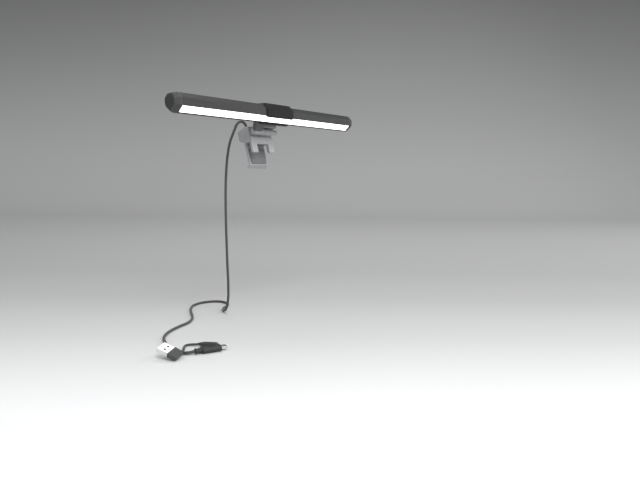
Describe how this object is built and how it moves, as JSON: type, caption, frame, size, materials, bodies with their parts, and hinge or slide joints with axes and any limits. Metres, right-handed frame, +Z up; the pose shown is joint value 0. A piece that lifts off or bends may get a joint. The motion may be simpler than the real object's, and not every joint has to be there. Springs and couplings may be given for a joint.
{
  "type": "monitor light bar",
  "caption": "Slim eight-sided LED light bar on a tilting neck, with a sprung clip that grips a laptop screen's top edge and a USB lead.",
  "frame": {"origin": "centre of the clip's seat, where it rests on the screen's top edge, at mid thickness of the screen", "axes": "+X along the bar to the user's right, -Y towards the user, +Z up against gravity; the clip leans back 14.7 degrees with the screen"},
  "size_m": [0.3377, 0.177, 0.2541],
  "materials": {
    "bar_finish": "dark grey anodised extrusion, satin",
    "cap_plastic": "dark grey moulded, matt",
    "diffuser_plastic": "milky white diffuser, lit",
    "reflector_white": "white, matt",
    "board_white": "white solder mask",
    "led_phosphor": "yellow phosphor under clear resin",
    "bare_aluminium": "mill finish",
    "board_green": "green solder mask",
    "black_plastic": "black moulded",
    "saddle_plastic": "charcoal moulded, fine spark texture",
    "neck_plastic": "dark grey moulded, fine spark texture",
    "key_plastic": "black keys with printed symbols left out",
    "clip_plastic": "light grey moulded, matt",
    "hinge_steel": "turned steel",
    "pad_rubber": "grey silicone",
    "cord_rubber": "dark grey soft jacket",
    "overmould": "dark grey soft-touch moulding",
    "shell_nickel": "bright nickel plate"
  },
  "bodies": {
    "clip": {"clip_body": "clip_plastic", "front_fork": "clip_plastic", "front_pads": "pad_rubber", "seat_pad": "pad_rubber", "hinge_bracket": "clip_plastic", "bracket_screws": "hinge_steel", "jaw_pin": "hinge_steel", "lead_gland": "cord_rubber", "lead": "cord_rubber", "usb_c_boot": "overmould", "usb_c_body": "overmould", "usb_c_shell": "shell_nickel", "usb_c_tongue": "black_plastic", "adapter_body": "overmould", "adapter_shell": "shell_nickel", "adapter_tongue": "black_plastic", "pigtail": "cord_rubber", "pigtail_boot": "overmould", "socket_body": "overmould", "socket_shell": "shell_nickel"},
    "head": {"bar_shell": "bar_finish", "end_cap_left": "cap_plastic", "end_cap_right": "cap_plastic", "diffuser": "diffuser_plastic", "reflector": "reflector_white", "led_board": "board_white", "led_chips": "led_phosphor", "heat_spreader": "bare_aluminium", "control_board": "board_green", "key_switches": "black_plastic", "saddle_cover": "saddle_plastic", "saddle_back": "saddle_plastic", "saddle_screws": "hinge_steel", "neck_arm": "neck_plastic", "neck_screws": "hinge_steel", "hinge_sleeve": "clip_plastic", "hinge_shaft": "hinge_steel", "hinge_washers": "hinge_steel", "hinge_nut": "clip_plastic"},
    "jaw": {"rear_jaw": "clip_plastic", "rear_pad": "pad_rubber", "jaw_spring": "hinge_steel"},
    "colour_key": {"key_colour": "key_plastic"},
    "power_key": {"key_power": "key_plastic"},
    "brightness_key": {"key_brightness": "key_plastic"}
  },
  "joints": [
    {"name": "bar_tilt", "type": "hinge", "parent": "clip", "child": "head", "pos_m": [0, -0.00966, 0.01442], "axis": [1, 0, 0], "range_deg": [-20, 25]},
    {"name": "jaw_open", "type": "hinge", "parent": "clip", "child": "jaw", "pos_m": [0, 0.00857, 0.00706], "axis": [1, 0, 0], "range_deg": [0, 25], "stiffness_Nm_per_rad": 0.12, "springref_deg": -14.32},
    {"name": "colour_press", "type": "slide", "parent": "head", "child": "colour_key", "axis": [0, 0, -1], "range_m": [0, 0.0003], "stiffness_N_per_m": 3000, "springref_m": -0.0001},
    {"name": "power_press", "type": "slide", "parent": "head", "child": "power_key", "axis": [0, 0, -1], "range_m": [0, 0.0003], "stiffness_N_per_m": 3000, "springref_m": -0.0001},
    {"name": "brightness_press", "type": "slide", "parent": "head", "child": "brightness_key", "axis": [0, 0, -1], "range_m": [0, 0.0003], "stiffness_N_per_m": 3000, "springref_m": -0.0001}
  ]
}
